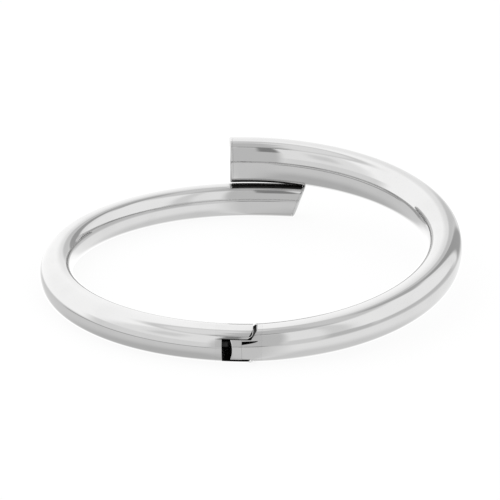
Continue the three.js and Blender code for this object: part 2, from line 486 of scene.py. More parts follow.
def finish_mesh(piece: bpy.types.Object, run: Array, normals: Optional[Array] = None) -> None:
    """Gives a mesh its smooth shading, its polishing direction and its size in metres.

    Args:
        piece: The object.
        run: For each point, its distance along and round the arm, as rows of x, y and z.
        normals: For each face corner its normal, or None for what the faces give.
    """
    mesh = piece.data
    layer = mesh.attributes.new("run", "FLOAT_VECTOR", "POINT")
    layer.data.foreach_set("vector", run.astype(np.float32).ravel())
    shade(mesh)
    if normals is not None:
        mesh.normals_split_custom_set(normals.tolist())
    mesh.transform(Matrix.Scale(MM, 4))
    mesh.update()


def mesh_points(mesh: bpy.types.Mesh) -> Array:
    """The mesh's points, as rows of x, y and z."""
    flat = np.empty(len(mesh.vertices) * 3, dtype=np.float32)
    mesh.vertices.foreach_get("co", flat)
    return flat.reshape(-1, 3).astype(np.float64)


# ------------------------------------------------------------------ finishes


def new_group(
    effect: Effect, inputs: dict[str, tuple[str, float]], outputs: dict[str, str]
) -> bpy.types.NodeTree:
    """Starts a shared shader group.

    Args:
        effect: Which effect it makes.
        inputs: Each input's name, with its socket type and default.
        outputs: Each output's name, with its socket type.

    Returns:
        The empty group, with its sockets.
    """
    group = bpy.data.node_groups.new(effect.value, "ShaderNodeTree")
    for name, (kind, default) in inputs.items():
        socket = group.interface.new_socket(name=name, in_out="INPUT", socket_type=kind)
        if kind == "NodeSocketFloat":
            socket.default_value = default
    for name, kind in outputs.items():
        group.interface.new_socket(name=name, in_out="OUTPUT", socket_type=kind)
    return group


@dataclass
class NodeBench:
    """Places and wires the nodes of one tree."""

    tree: bpy.types.NodeTree
    column: int = 0

    def add(self, kind: str, **settings: object) -> bpy.types.Node:
        """Adds a node.

        Args:
            kind: The node's type.
            **settings: Properties to set on it.

        Returns:
            The node.
        """
        node = self.tree.nodes.new(kind)
        node.location = (self.column * 200, 0)
        self.column += 1
        for name, value in settings.items():
            setattr(node, name, value)
        return node

    def wire(self, source: bpy.types.NodeSocket, target: bpy.types.NodeSocket) -> None:
        """Links one socket to another."""
        self.tree.links.new(source, target)

    def feed(self, value: object, target: bpy.types.NodeSocket) -> None:
        """Links a socket to another, or sets a number or a colour on it.

        Args:
            value: The socket, number or colour.
            target: The socket that takes it.
        """
        if isinstance(value, bpy.types.NodeSocket):
            self.wire(value, target)
        else:
            target.default_value = value

    def math(self, operation: str, first: object, second: object) -> bpy.types.NodeSocket:
        """A Math node on two sockets or numbers.

        Args:
            operation: What it does.
            first: A socket or a number.
            second: A socket or a number.

        Returns:
            The node's output.
        """
        node = self.add("ShaderNodeMath", operation=operation)
        for socket, value in zip(node.inputs, (first, second)):
            self.feed(value, socket)
        return node.outputs[0]

    def noise(self, vector: bpy.types.NodeSocket, scale: object, detail: float) -> bpy.types.NodeSocket:
        """A noise texture.

        Args:
            vector: Where it is read.
            scale: A socket or a number.
            detail: How many finer layers it has.

        Returns:
            The noise from 0 to 1.
        """
        node = self.add("ShaderNodeTexNoise")
        self.wire(vector, node.inputs["Vector"])
        node.inputs["Detail"].default_value = detail
        self.feed(scale, node.inputs["Scale"])
        return node.outputs["Fac"]

    def ramp(self, value: bpy.types.NodeSocket, low: float, high: float) -> bpy.types.NodeSocket:
        """Stretches a value so that low to high becomes 0 to 1, smoothly.

        Args:
            value: The value.
            low: What becomes 0.
            high: What becomes 1.

        Returns:
            The stretched value.
        """
        node = self.add("ShaderNodeMapRange", interpolation_type="SMOOTHSTEP")
        self.wire(value, node.inputs["Value"])
        node.inputs["From Min"].default_value = low
        node.inputs["From Max"].default_value = high
        return node.outputs["Result"]


class SharedEffects:
    """Builds the shader groups that every steel uses, once each."""

    def __init__(self) -> None:
        """Builds the three groups."""
        self.groups = {
            Effect.POLISH_LINES: self.polish_lines(),
            Effect.HANDLING_MARKS: self.handling_marks(),
            Effect.EDGE_WEAR_SHEEN: self.edge_wear_sheen(),
        }

    def polish_lines(self) -> bpy.types.NodeTree:
        """Hair-fine lines that the polishing wheel leaves along the arm.

        Returns:
            The group, from the run along the arm to a height and a mask.
        """
        inputs = {
            "Run": ("NodeSocketVector", 0.0),
            "Lines Along": ("NodeSocketFloat", 0.25),
            "Lines Across": ("NodeSocketFloat", 9.0),
        }
        group = new_group(
            Effect.POLISH_LINES, inputs, {"Height": "NodeSocketFloat", "Mask": "NodeSocketFloat"}
        )
        bench = NodeBench(group)
        given = bench.add("NodeGroupInput")
        scale = bench.add("ShaderNodeCombineXYZ")
        bench.wire(given.outputs["Lines Along"], scale.inputs["X"])
        bench.wire(given.outputs["Lines Across"], scale.inputs["Y"])
        bench.wire(given.outputs["Lines Across"], scale.inputs["Z"])
        stretched = bench.add("ShaderNodeVectorMath", operation="MULTIPLY")
        bench.wire(given.outputs["Run"], stretched.inputs[0])
        bench.wire(scale.outputs["Vector"], stretched.inputs[1])
        lines = bench.noise(stretched.outputs["Vector"], scale=1.0, detail=3.0)
        patches = bench.noise(given.outputs["Run"], scale=0.35, detail=1.0)
        strong = bench.ramp(lines, low=0.55, high=0.75)
        mask = bench.math("MULTIPLY", strong, bench.ramp(patches, low=0.4, high=0.65))
        result = bench.add("NodeGroupOutput")
        bench.wire(lines, result.inputs["Height"])
        bench.wire(mask, result.inputs["Mask"])
        return group

    def handling_marks(self) -> bpy.types.NodeTree:
        """Faint haze where fingers have touched the polish.

        Returns:
            The group, from its scale to a haze and a fine grain.
        """
        inputs = {
            "Patch Scale": ("NodeSocketFloat", 150.0),
            "Grain Scale": ("NodeSocketFloat", 4000.0),
        }
        group = new_group(
            Effect.HANDLING_MARKS, inputs, {"Haze": "NodeSocketFloat", "Grain": "NodeSocketFloat"}
        )
        bench = NodeBench(group)
        given = bench.add("NodeGroupInput")
        place = bench.add("ShaderNodeTexCoord").outputs["Object"]
        patch = bench.noise(place, given.outputs["Patch Scale"], detail=2.0)
        grain = bench.noise(place, given.outputs["Grain Scale"], detail=1.0)
        result = bench.add("NodeGroupOutput")
        bench.wire(bench.ramp(patch, low=0.42, high=0.72), result.inputs["Haze"])
        bench.wire(grain, result.inputs["Grain"])
        return group

    def edge_wear_sheen(self) -> bpy.types.NodeTree:
        """Brighter metal along the rounded edges: rubbed wear, with a painted highlight where the edges catch
        the light.

        Returns:
            The group, from its breakup scale to a mask.
        """
        inputs = {"Breakup Scale": ("NodeSocketFloat", 900.0)}
        group = new_group(Effect.EDGE_WEAR_SHEEN, inputs, {"Mask": "NodeSocketFloat"})
        bench = NodeBench(group)
        given = bench.add("NodeGroupInput")
        edge = bench.add("ShaderNodeAttribute", attribute_name="edge").outputs["Fac"]
        place = bench.add("ShaderNodeTexCoord").outputs["Object"]
        breakup = bench.noise(place, given.outputs["Breakup Scale"], detail=2.0)
        worn_sheened = bench.math("MULTIPLY", edge, bench.ramp(breakup, low=0.3, high=0.6))
        result = bench.add("NodeGroupOutput")
        bench.wire(worn_sheened, result.inputs["Mask"])
        return group


@dataclass(frozen=True)
class SteelFinish:
    """One steel, with its own amount of each shared effect."""

    name: str
    slot: str
    colour: float
    warmth: float
    roughness: float
    haze_roughness: float
    line_roughness: float
    haze_shade: float
    bump: float
    lines_across: float = 9.0
    # How much brighter the rounded edges are: wear with a painted highlight.
    wear_sheen_shade: float = 1.04
    grain_share: float = 0.3
    bump_depth: float = 2e-6
    mix_first: int = 6
    mix_result: int = 2

    def tone(self, share: float) -> tuple[float, float, float, float]:
        """The base colour times a share."""
        grey = self.colour * share
        return (grey * (1 + self.warmth), grey, grey * (1 - self.warmth), 1.0)

    def material(self, effects: SharedEffects) -> bpy.types.Material:
        """Builds the material.

        Args:
            effects: The shared groups.

        Returns:
            The material.
        """
        made = bpy.data.materials.new(self.name)
        made.use_nodes = True
        tree = made.node_tree
        tree.nodes.clear()
        bench = NodeBench(tree)
        run = bench.add("ShaderNodeAttribute", attribute_name="run").outputs["Vector"]
        lines = bench.add("ShaderNodeGroup", node_tree=effects.groups[Effect.POLISH_LINES])
        marks = bench.add("ShaderNodeGroup", node_tree=effects.groups[Effect.HANDLING_MARKS])
        wear_sheen_node = bench.add("ShaderNodeGroup", node_tree=effects.groups[Effect.EDGE_WEAR_SHEEN])
        bench.wire(run, lines.inputs["Run"])
        lines.inputs["Lines Across"].default_value = self.lines_across
        hazed = self.shade(bench, marks.outputs["Haze"], self.tone(1.0), self.tone(self.haze_shade))
        # Brightens the rounded edges: wear with a painted highlight.
        worn_sheened = self.shade(bench, wear_sheen_node.outputs["Mask"], hazed, self.tone(self.wear_sheen_shade))
        dulled = bench.math("MULTIPLY", marks.outputs["Haze"], self.haze_roughness)
        lined = bench.math("MULTIPLY", lines.outputs["Mask"], self.line_roughness)
        rough = bench.math("ADD", bench.math("ADD", dulled, lined), self.roughness)
        grain = bench.math("MULTIPLY", marks.outputs["Grain"], self.grain_share)
        height = bench.math("ADD", lines.outputs["Height"], grain)
        bump = bench.add("ShaderNodeBump")
        bump.inputs["Strength"].default_value = self.bump
        bump.inputs["Distance"].default_value = self.bump_depth
        bench.wire(height, bump.inputs["Height"])
        steel = bench.add("ShaderNodeBsdfPrincipled")
        steel.inputs["Metallic"].default_value = 1.0
        bench.wire(worn_sheened, steel.inputs["Base Color"])
        bench.wire(rough, steel.inputs["Roughness"])
        bench.wire(bump.outputs["Normal"], steel.inputs["Normal"])
        bench.wire(steel.outputs["BSDF"], bench.add("ShaderNodeOutputMaterial").inputs["Surface"])
        return made

    def shade(
        self, bench: NodeBench, mask: bpy.types.NodeSocket, plain: object, marked: tuple[float, ...]
    ) -> bpy.types.NodeSocket:
        """Mixes two colours by a mask.

        Args:
            bench: Where the nodes are placed.
            mask: The share of the marked colour.
            plain: A colour, or the socket that gives it.
            marked: The other colour.

        Returns:
            The mixed colour.
        """
        mix = bench.add("ShaderNodeMix", data_type="RGBA")
        bench.wire(mask, mix.inputs["Factor"])
        bench.feed(plain, mix.inputs[self.mix_first])
        mix.inputs[self.mix_first + 1].default_value = marked
        return mix.outputs[self.mix_result]

    def fit(self, piece: bpy.types.Object, material: bpy.types.Material, body: Body, *nodes: str) -> None:
        """Puts the material on a piece, and gives the piece its place in the frame.

        Args:
            piece: The piece.
            material: This steel's material.
            body: The body that the piece rides.
            *nodes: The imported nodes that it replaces.
        """
        piece.data.materials.clear()
        piece.data.materials.append(material)
        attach(piece, body.value)
        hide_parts(*nodes)
        LOG.info("%s: %d points", piece.name, len(piece.data.vertices))


# ------------------------------------------------------------------ the arms


@dataclass(frozen=True)
class ArmSkin:
    """One hollow arm and the plate that closes its end."""

    line: ArmLine
    body: Body
    name: str
    start_from_pin: float = 3.583
    wall: float = 0.5
    plate: float = 0.6
    plate_edge: float = 0.3
    seam: float = 0.02
    section_radius: float = 3.0
    stations: int = 240
    around: int = 112
    edge_steps: int = 9
    plate_rings: tuple[float, ...] = (0.8, 0.5, 0.2, 0.0)
    contact_from: float = 1.0
    contact_turns: tuple[float, float] = (82.0, 119.0)

    @property
    def tube_end(self) -> float:
        """The angle at which the tube meets its end plate."""
        return self.line.end_angle - self.plate / self.line.half_width

    def run(self, angle: Array, turn: Array) -> Array:
        """Distances along and round the arm, for the polishing lines."""
        radius = self.section_radius
        flat = np.broadcast_arrays(angle * RUN_RADIUS, np.cos(turn) * radius, np.sin(turn) * radius)
        return np.stack(flat, -1).reshape(-1, 3)

    def tube(self) -> bpy.types.Object:
        """Builds the tube with its inside.

        Returns:
            The tube.
        """
        share = np.linspace(0.0, 1.0, self.stations)[:, None]
        turn = np.arange(self.around) * 2 * math.pi / self.around
        out, _ = self.line.oval(turn)
        half_w, _ = self.line.half_size(np.zeros(1))
        start = self.line.angle_across(np.full(self.around, self.start_from_pin), out * half_w)
        angle = start[None, :] * (1.0 - share) + self.tube_end * share
        lean = self.line.end_lean * share
        rims = [(0.0, 1), (self.wall, -1)]
        rows = [self.line.skin(angle[::way], turn[None, :], inset, lean[::way]) for inset, way in rims]
        points = np.vstack(rows)
        runs = np.vstack([self.run(angle[::way], turn[None, :]) for _, way in rims])
        piece = Piece()
        edge = np.zeros(points.shape[0] * self.around)
        piece.add(points.reshape(-1, 3), grid_faces(len(points), self.around, True, True), edge)
        made = new_object(f"{self.name}_tube", piece.mesh(f"{self.name}_tube"))
        finish_mesh(made, runs)
        return made

    def end_plate(self) -> bpy.types.Object:
        """Builds the end plate, with a rounded edge.

        Returns:
            The plate.
        """
        arc = np.linspace(0.0, math.pi / 2, self.edge_steps)
        depth = [self.plate - self.seam, *(self.plate_edge * (1 - np.sin(arc)))]
        inset = [0.0, *(self.plate_edge * (1 - np.cos(arc)))]
        turn = np.arange(self.around) * 2 * math.pi / self.around
        rings = []
        for back, into in zip(depth, inset):
            angle = np.full(1, self.line.end_angle - back / self.line.half_width)
            rings.append(self.line.skin(angle[:, None], turn[None, :], into, self.line.end_lean)[0])
        first, last = rings[0], rings[-1]
        for scale in self.plate_rings:
            rings.insert(0, first.mean(0) + (first - first.mean(0)) * scale)
            rings.append(last.mean(0) + (last - last.mean(0)) * scale)
        points = np.stack(rings)
        edge = np.zeros((len(rings), self.around))
        edge[len(self.plate_rings) + 2 : len(self.plate_rings) + self.edge_steps] = 1.0
        piece = Piece()
        piece.add(points.reshape(-1, 3), grid_faces(len(rings), self.around, False, True), edge.ravel())
        made = new_object(f"{self.name}_end_plate", piece.mesh(f"{self.name}_end_plate"))
        finish_mesh(made, mesh_points(made.data))
        return made

    def paint_contact_shade(self, tube: bpy.types.Object, painted_dark: bpy.types.Material) -> None:
        """Paints shade on the tube's top, near black where the other arm rests on it.

        Args:
            tube: The tube.
            painted_dark: The material of the strip, a near-black painted shade.
        """
        low, high = (round(turn / 360.0 * self.around) for turn in self.contact_turns)
        tube.data.materials.append(painted_dark)
        for row in range(round(self.contact_from * self.stations), self.stations - 1):
            for column in range(low, high):
                tube.data.polygons[row * self.around + column].material_index = 1

    def build(
        self, finish: SteelFinish, material: bpy.types.Material, painted_dark: bpy.types.Material
    ) -> None:
        """Builds, dresses and fixes the tube and its plate.

        Args:
            finish: The steel that both are made of.
            material: That steel's material.
            painted_dark: The material of the strip that the other arm rests on, a near-black painted shade.
        """
        tube, plate = self.tube(), self.end_plate()
        side = self.line.side.name.lower()
        finish.fit(tube, material, self.body, f"{side}_outer_shell", f"{side}_inner_shell")
        finish.fit(plate, material, self.body, f"{side}_end_cap")
        # The strip under the other arm's end is painted near black as its shade.
        if self.contact_from < 1.0:
            self.paint_contact_shade(tube, painted_dark)


# ------------------------------------------------------------------ the hinge


@dataclass(frozen=True)
class Bar:
    """A stretch of an arm near the hinge, cut level above and below.

    Distances are from the pin towards the arm's own side, and heights from the section's
    centre at the hinge. None leaves the top or the bottom uncut.
    """

    start: Reach
    end: Reach
    low: Optional[Reach] = None
    high: Optional[Reach] = None
    inset: float = 0.0
    start_round: float = 0.0
    end_round: float = 0.0
    steps: int = 14
    arc_points: int = 26
    across: int = 24
    round_steps: int = 5

    def outline(self, line: ArmLine, angle: Array, distance: Array, into: Array) -> tuple[Array, Array]:
        """The bar's outline at one angle for each station.

        Args:
            line: The arm.
            angle: One angle for each station.
            distance: One distance for each station.
            into: How far each station is set in for a rounded edge.

        Returns:
            u and v, one row for each station.
        """
        half_w, half_h = (size - self.inset for size in line.half_size(angle))
        shift = line.centre_at_hinge - line.height(angle)
        bottom = -np.ones_like(angle) if self.low is None else (self.low(distance) + shift) / half_h
        top = np.ones_like(angle) if self.high is None else (self.high(distance) + shift) / half_h
        low, high = line.turn_at(bottom), line.turn_at(top)
        share = np.linspace(0.0, 1.0, self.arc_points)[None, :]
        turn = low[:, None] + (high - low)[:, None] * share
        ox, oy = line.oval(turn)
        u, v = ox * half_w[:, None], oy * half_h[:, None]
        normal = line.slope(u, v, half_w[:, None], half_h[:, None])
        for column, flat in ((0, -1.0), (-1, 1.0)):
            corner = normal[:, column, :] + np.array([0.0, flat])
            corner /= 1.0 + normal[:, column, 1:] * flat
            normal[:, column, :] = corner
        u = np.maximum(u - normal[..., 0] * into[:, None], 0.0)
        v = v - normal[..., 1] * into[:, None]
        cross = np.linspace(1.0, -1.0, self.across + 1)[None, 1:-1]
        u_top, v_top = u[:, -1:] * cross, np.repeat(v[:, -1:], self.across - 1, 1)
        u_low, v_low = -u[:, :1] * cross, np.repeat(v[:, :1], self.across - 1, 1)
        return (
            np.hstack([u, u_top, -u[:, ::-1], u_low]),
            np.hstack([v, v_top, v[:, ::-1], v_low]),
        )

    def stations(self) -> tuple[Array, Array, Array]:
        """Where the stations stand.

        Returns:
            The share of the way, the distance short of that end, and the set-in, per station.
        """
        arc = np.linspace(0.0, math.pi / 2, self.round_steps + 1)
        share = np.linspace(0.0, 1.0, self.steps)
        back, into = np.zeros(self.steps), np.zeros(self.steps)
        if self.start_round:
            share = np.concatenate([np.zeros(len(arc) - 1), share])
            back = np.concatenate([self.start_round * (1 - np.cos(arc[:-1])), back])
            into = np.concatenate([self.start_round * (1 - np.sin(arc[:-1])), into])
            back[len(arc) - 1] = self.start_round
        if self.end_round:
            back[-1] = -self.end_round
            share = np.concatenate([share, np.ones(len(arc) - 1)])
            back = np.concatenate([back, -self.end_round * (1 - np.cos(arc[:-1][::-1]))])
            into = np.concatenate([into, self.end_round * (1 - np.sin(arc[:-1][::-1]))])
        return share, back, into

    def place(self, line: ArmLine, u: Array, v: Array, share: Array, back: Array) -> Array:
        """Puts an outline's points on the arm.

        Args:
            line: The arm.
            u: Distances out.
            v: Heights in the section.
            share: Each station's share of the way.
            back: Each station's step back from the end.

        Returns:
            The points, as rows of x, y and z.
        """
        start, end = self.start(u), self.end(u)
        distance = start + (end - start) * share[:, None] + back[:, None]
        return line.point(line.angle_across(distance, u), u, v)

    def build(self, line: ArmLine, name: str) -> bpy.types.Object:
        """Builds the bar as a closed piece.

        Args:
            line: The arm.
            name: The piece's name.

        Returns:
            The bar.
        """
        share, back, into = self.stations()
        middle = np.zeros(1)
        start, end = self.start(middle)[0], self.end(middle)[0]
        distance = start + (end - start) * share + back
        angle = line.angle_across(distance, np.zeros_like(distance))
        u, v = self.outline(line, angle, distance, into)
        points = self.place(line, u, v, share, back)
        edge = np.repeat((into > 0).astype(float)[:, None], u.shape[1], 1)
        piece = Piece()
        piece.add(points.reshape(-1, 3), grid_faces(*u.shape, False, True), edge.ravel())
        for row in (0, -1):
            self.close(piece, line, u[row], v[row], share[row], back[row])
        return new_object(name, piece.mesh(name))

    def close(self, piece: Piece, line: ArmLine, u: Array, v: Array, share: float, back: float) -> None:
        """Closes an end with a grid across it.

        Args:
            piece: The piece that is closed.
            line: The arm.
            u: The end outline's distances out.
            v: The end outline's heights.
            share: Which end, as a share of the way.
            back: The step back from it.
        """
        cross = np.linspace(1.0, -1.0, self.across + 1)[None, :]
        uu = u[: self.arc_points, None] * cross
        vv = np.repeat(v[: self.arc_points, None], self.across + 1, 1)
        ones = np.ones(self.arc_points)
        points = self.place(line, uu, vv, ones * share, ones * back)
        edge = np.zeros(points.shape[0] * points.shape[1])
        piece.add(points.reshape(-1, 3), grid_faces(*uu.shape, False, False), edge)


def at(distance: float) -> Reach:
    """A reach that is the same right across."""
    return lambda across: np.full_like(across, distance)


@dataclass(frozen=True)
class HingeSizes:
    """The sizes that the two halves of the hinge share."""

    under_upper_lug: float = 1.86
    over_lower_lug: float = -2.05
    upper_gap: float = 0.2
    lower_gap: float = 0.1
    lug_reach: float = 1.95
    lug_fall: float = 0.056
    lug_power: float = 3.0
    lug_round: float = 0.2
    nose_reach: float = 1.63
    nose_flat: float = 1.4
    nose_fall: float = 0.46
    nose_power: float = 1.684
    nose_round: float = 0.1
    slot_face: float = 2.56
    pocket_radius: float = 2.98
    pocket_wall: float = 2.7
    least_pocket_square: float = 0.3
    least_swing_square: float = 0.81
    pocket_round: float = 0.16
    collar_end: float = 3.58
    plug_end: float = 9.2
    plug_inset: float = 0.55
    pin_radius: float = 0.6
    pin_hole: float = 0.61
    knuckle_hole: float = 0.65
    pin_cover: float = 0.5
    pin_gap: float = 0.03
    hole_reach: float = 4.0
    bevel: float = 0.06
    plunger_gap: float = 0.05
    plunger_radius: float = 0.9
    plunger_length: float = 3.3
    spigot_radius: float = 0.42
    spigot_length: float = 0.8
    bore_radius: float = 0.95
    bore_end: float = 7.94
    tongue_end: float = 0.5
    tongue_gap: float = 0.02
    slit_height: float = 0.5
    slit_top: float = 1.46
    slit_rise: float = 0.05
    slit_end: float = 3.0
    slit_power: float = 0.5
    heel_gap: float = 0.36
    swing_radius: float = 2.95
    web_set_in: float = 0.03
    polished_rim: float = 0.02
    recess_facing: float = 0.15
    rounded_from: float = 0.5
    skin_depth: float = 0.004
    skin_facing: float = 0.95

    def lug_end(self, u: Array) -> Array:
        """How far a lug reaches past the pin, out by u."""
        return self.lug_fall * np.abs(u) ** self.lug_power - self.lug_reach

    def nose_end(self, u: Array) -> Array:
        """Where the knuckle's nose ends, out by u."""
        beyond_flat = np.maximum(np.abs(u) - self.nose_flat, 0.0)
        return self.nose_fall * beyond_flat**self.nose_power - self.nose_reach

    def pocket_edge(self, u: Array) -> Array:
        """Where the right arm starts beyond the swing of the lugs, out by u."""
        arc = np.sqrt(np.maximum(self.pocket_radius**2 - u**2, self.least_pocket_square))
        return np.minimum(arc, self.pocket_wall)

    def swing_arc(self, u: Array) -> Array:
        """How far from the pin the nose's swing reaches, out by u."""
        return np.sqrt(np.maximum(self.swing_radius**2 - u**2, self.least_swing_square))

    def slot_wall(self, u: Array) -> Array:
        """The slot's far wall, hollowed for the nose's swing, out by u."""
        return np.maximum(self.swing_arc(u), self.slot_face)

    def web_end(self, u: Array) -> Array:
        """How far the web behind the nose reaches back to the pin, out by u."""
        hidden = self.slot_wall(u) + self.web_set_in
        return np.where((u < 0) & (self.swing_arc(u) < self.slot_face), self.swing_arc(u), hidden)

    def web_start(self, u: Array) -> Array:
        """Where the web starts, set into the collar, out by u."""
        return self.slot_wall(u) + 2 * self.web_set_in

    def slit_ceiling(self, distance: Array) -> Array:
        """The slit's upper side."""
        return self.slit_top + self.slit_rise * (distance - self.tongue_end)

    def slit_floor(self, distance: Array) -> Array:
        """The slit's lower side, which rises to close the slit."""
        open_share = np.clip((self.slit_end - distance) / (self.slit_end - self.tongue_end), 0.0, 1.0)
        return self.slit_ceiling(distance) - self.slit_height * open_share**self.slit_power


@dataclass(frozen=True)
class HingeHalf:
    """What both halves of the hinge have: bars, holes and a finish."""

    line: ArmLine
    sizes: HingeSizes
    body: Body
    node: str
    name: str

    def bars(self) -> list[bpy.types.Object]:
        """Builds the closed bars that the half is made of."""
        raise NotImplementedError

    def pin_point(self, height: float) -> Vector:
        """A point on the pin's axis, by its height from the section's centre."""
        return Vector((self.line.hinge.x, self.line.hinge.y, self.line.centre_at_hinge + height))

    def skin_shading(self, mesh: bpy.types.Mesh) -> Array:
        """Corner normals that follow the smooth oval wherever a face lies on it.

        Args:
            mesh: The mesh, in millimetres and already shaded smooth.

        Returns:
            A normal for each face corner.
        """
        corners = np.empty(len(mesh.loops) * 3, dtype=np.float32)
        mesh.corner_normals.foreach_get("vector", corners)
        corners = corners.reshape(-1, 3).astype(np.float64)
        smooth, depth = self.line.skin_normals(mesh_points(mesh))
        for face in mesh.polygons:
            held = list(face.vertices)
            on_skin = np.all(np.abs(depth[held]) < self.sizes.skin_depth)
            if on_skin and smooth[held].mean(0) @ np.array(face.normal) > self.sizes.skin_facing:
                for loop, vertex in zip(face.loop_indices, held):
                    corners[loop] = smooth[vertex]
        return corners

    def recess_faces(self, mesh: bpy.types.Mesh) -> list[int]:
        """The faces down inside the hinge, painted near black as the shade that falls there.

        Args:
            mesh: The mesh, in millimetres.

        Returns:
            Their numbers.
        """
        edge = mesh.attributes["edge"].data
        _, depth = self.line.skin_normals(mesh_points(mesh))
        found = []
        for face in mesh.polygons:
            held = list(face.vertices)
            inside = depth[held].max() > self.sizes.polished_rim
            rounded = sum(edge[vertex].value for vertex in held) > self.sizes.rounded_from
            if inside and not rounded and abs(face.normal.y) < self.sizes.recess_facing:
                found.append(face.index)
        return found

    def build(self, finish: SteelFinish, material: bpy.types.Material, painted_shade: bpy.types.Material) -> None:
        """Builds, dresses and fixes this half.

        Args:
            finish: The steel that it is made of.
            material: That steel's material.
            painted_shade: The material of the faces down inside, painted near black as shade.
        """
        made = join(self.name, self.bars())
        mesh = made.data
        shade(mesh)
        normals = self.skin_shading(mesh)
        points = mesh_points(mesh)
        angle, u, v = self.line.section_near_hinge(points)
        painted_dark = self.recess_faces(mesh)
        finish_mesh(made, np.column_stack([angle * RUN_RADIUS, u, v]), normals)
        finish.fit(made, material, self.body, self.node)
        mesh.materials.append(painted_shade)
        # Painted shade: the faces down inside get the near-black steel.
        for index in painted_dark:
            mesh.polygons[index].material_index = 1


@dataclass(frozen=True)
class Clevis(HingeHalf):
    """The left half: a collar, two lugs, and a plug that holds the plunger's bore."""

    def bars(self) -> list[bpy.types.Object]:
        """Builds the lugs, the collar and the plug, with their holes.

        Returns:
            The closed bars.
        """
        s = self.sizes
        upper = Bar(at(s.collar_end), s.lug_end, low=at(s.under_upper_lug), end_round=s.lug_round)
        lower = Bar(at(s.collar_end), s.lug_end, high=at(s.over_lower_lug), end_round=s.nose_round)
        collar = Bar(at(s.collar_end), s.slot_wall, low=at(s.over_lower_lug), high=at(s.under_upper_lug))
        plug = Bar(at(s.plug_end), at(s.collar_end), inset=s.plug_inset)
        web = Bar(s.web_start, s.web_end, low=at(s.over_lower_lug), high=at(s.under_upper_lug), steps=4)
        named = ((upper, "upper_lug"), (lower, "lower_lug"), (collar, "collar"), (plug, "plug"), (web, "web"))
        made = [bar.build(self.line, name) for bar, name in named]
        low, high = self.pin_point(-s.hole_reach), self.pin_point(self.line.centre_at_hinge - s.pin_cover)
        for lug in made[:2]:
            cut_away(lug, rod("pin_hole", s.pin_hole, low, high))
        side = self.line.side.value
        for part in made[2:]:
            start = self.pin_point(0.0) + Vector((side * s.nose_reach, 0.0, 0.0))
            end = self.pin_point(0.0) + Vector((side * s.bore_end, 0.0, 0.0))
            cut_away(part, rod("plunger_bore", s.bore_radius, start, end))
        return made


@dataclass(frozen=True)
class Knuckle(HingeHalf):
    """The right half: a tongue between the lugs, let into a collar with a fine slit."""

    def bars(self) -> list[bpy.types.Object]:
        """Builds the tongue, the collar's parts and the plug, with the pin's hole.

        Returns:
            The closed bars.
        """
        s = self.sizes
        top, bottom = s.under_upper_lug - s.upper_gap, s.over_lower_lug + s.lower_gap
        body_start = s.tongue_end + s.tongue_gap
        tongue = Bar(s.nose_end, at(s.tongue_end), at(bottom), at(top), start_round=s.nose_round)
        heel = Bar(
            at(body_start), at(s.collar_end), at(s.over_lower_lug + s.heel_gap), s.slit_floor, steps=24
        )
        rim = Bar(at(body_start), at(s.collar_end), s.slit_ceiling, at(top), steps=24)
        crown = Bar(s.pocket_edge, at(s.collar_end), low=at(top), start_round=s.pocket_round)
        sole = Bar(
            s.pocket_edge, at(s.collar_end), high=at(s.over_lower_lug + s.heel_gap), start_round=s.nose_round
        )
        plug = Bar(at(s.collar_end), at(s.plug_end), inset=s.plug_inset)
        named = (
            (tongue, "tongue"),
            (heel, "heel"),
            (rim, "rim"),
            (crown, "crown"),
            (sole, "sole"),
            (plug, "plug"),
        )
        made = [bar.build(self.line, name) for bar, name in named]
        low, high = self.pin_point(-s.hole_reach), self.pin_point(s.hole_reach)
        for part in made[:3]:
            cut_away(part, rod("pin_hole", s.knuckle_hole, low, high))
        return made


@dataclass(frozen=True)
class TurnedPiece:
    """A turned piece, drawn as radii and places along its axis."""

    name: str
    node: str
    body: Body
    profile: tuple[tuple[float, float], ...]
    base: Vector
    axis: Vector
    sides: int = 72

    def build(self, finish: SteelFinish, material: bpy.types.Material) -> None:
        """Builds, dresses and fixes the piece.

        Args:
            finish: The steel that it is made of.
            material: That steel's material.
        """
        turn = np.arange(self.sides) * 2 * math.pi / self.sides
        place = self.axis.to_track_quat("Z", "Y").to_matrix()
        rings = []
        for radius, along in self.profile:
            ring = np.column_stack([radius * np.cos(turn), radius * np.sin(turn), np.full(self.sides, along)])
            rings.append(ring @ np.array(place).T + np.array(self.base))
        points = np.vstack(rings)
        piece = Piece()
        faces = grid_faces(len(rings), self.sides, False, True)
        piece.add(points, faces, np.zeros(len(points)))
        made = new_object(self.name, piece.mesh(self.name))
        finish_mesh(made, mesh_points(made.data))
        finish.fit(made, material, self.body, self.node)


